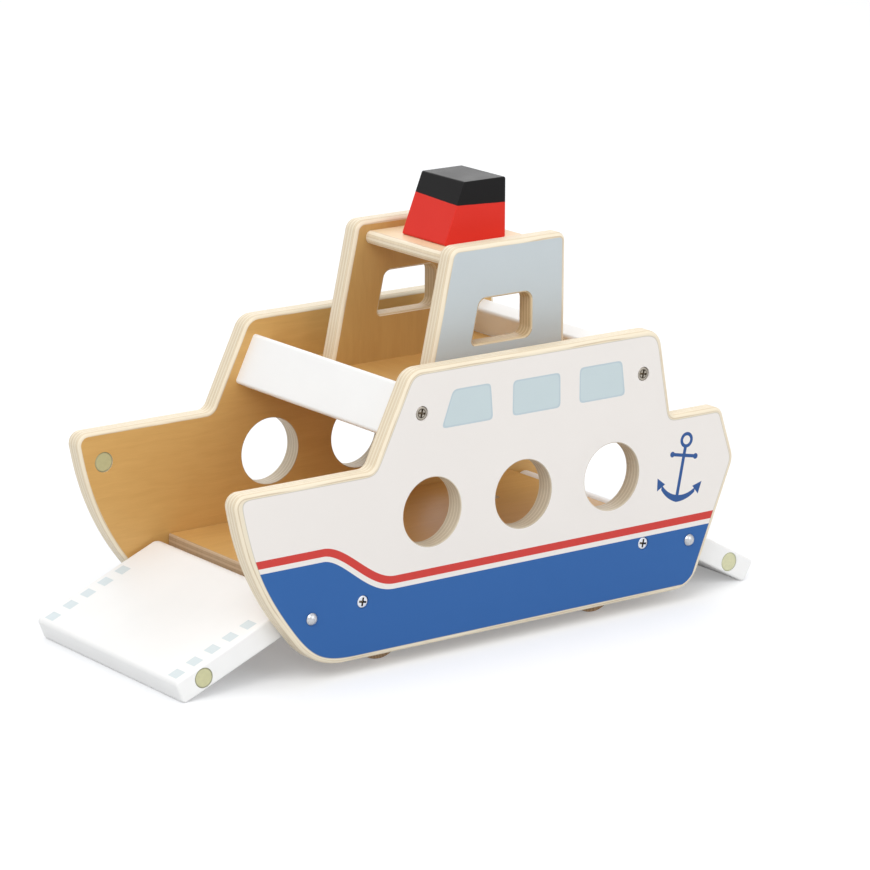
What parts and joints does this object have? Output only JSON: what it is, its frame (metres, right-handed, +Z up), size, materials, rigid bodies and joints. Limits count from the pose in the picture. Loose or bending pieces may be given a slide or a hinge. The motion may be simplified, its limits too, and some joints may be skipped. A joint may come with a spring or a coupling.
{
  "type": "wooden toy car ferry",
  "caption": "Wooden toy car ferry with plywood sides, a car deck open at both ends, swing-up bow and stern ramps, an upper deck, a wheelhouse, a funnel and hidden wheels.",
  "frame": {"origin": "on the floor, under the middle of the toy's length and width with both ramps lowered", "axes": "+X from bow to stern, +Y to starboard, +Z up"},
  "size_m": [0.3198, 0.1388, 0.1985],
  "materials": {
    "painted_side": "plywood, printed white and blue, clear edges",
    "wheelhouse_side": "plywood, pale blue-grey outside, clear inside",
    "deck_plywood": "clear-lacquered plywood",
    "roof_plywood": "clear-lacquered plywood with a round front edge",
    "white_board": "satin white paint",
    "funnel_paint": "satin red paint with a black top",
    "steel_pin": "bright",
    "screw_steel": "zinc plated",
    "magnet": "lacquered over",
    "bare_wood": "clear-lacquered hardwood",
    "dowel_wood": "bare"
  },
  "bodies": {
    "hull": {"port_side_panel": "painted_side", "starboard_side_panel": "painted_side", "wheelhouse_port_side": "wheelhouse_side", "wheelhouse_starboard_side": "wheelhouse_side", "car_deck": "deck_plywood", "upper_deck": "deck_plywood", "wheelhouse_roof": "roof_plywood", "bow_board": "white_board", "stern_board": "white_board", "funnel": "funnel_paint", "deck_screws": "screw_steel", "board_screws": "screw_steel", "axle_block_screws": "screw_steel", "wheelhouse_screws": "screw_steel", "funnel_screw": "screw_steel", "bow_side_magnets": "magnet", "stern_side_magnets": "magnet", "front_axle_block": "bare_wood", "rear_axle_block": "bare_wood", "upper_deck_dowels": "dowel_wood", "roof_dowels": "dowel_wood"},
    "bow_ramp": {"bow_ramp": "white_board", "bow_ramp_pins": "steel_pin", "bow_ramp_magnets": "magnet"},
    "stern_ramp": {"stern_ramp": "white_board", "stern_ramp_pins": "steel_pin", "stern_ramp_magnets": "magnet"},
    "front_wheelset": {"front_axle": "steel_pin", "front_port_wheel": "bare_wood", "front_starboard_wheel": "bare_wood"},
    "rear_wheelset": {"rear_axle": "steel_pin", "rear_port_wheel": "bare_wood", "rear_starboard_wheel": "bare_wood"}
  },
  "joints": [
    {"name": "bow_ramp_hinge", "type": "hinge", "parent": "hull", "child": "bow_ramp", "pos_m": [-0.0976, 0, 0.0296], "axis": [0, 1, 0], "range_deg": [0, 83.45]},
    {"name": "stern_ramp_hinge", "type": "hinge", "parent": "hull", "child": "stern_ramp", "pos_m": [0.1124, 0, 0.0296], "axis": [0, -1, 0], "range_deg": [0, 97.27]},
    {"name": "front_wheels_spin", "type": "hinge", "parent": "hull", "child": "front_wheelset", "pos_m": [-0.0526, 0, 0.0125], "axis": [0, 1, 0], "continuous": true},
    {"name": "rear_wheels_spin", "type": "hinge", "parent": "hull", "child": "rear_wheelset", "pos_m": [0.0674, 0, 0.0125], "axis": [0, 1, 0], "continuous": true}
  ]
}
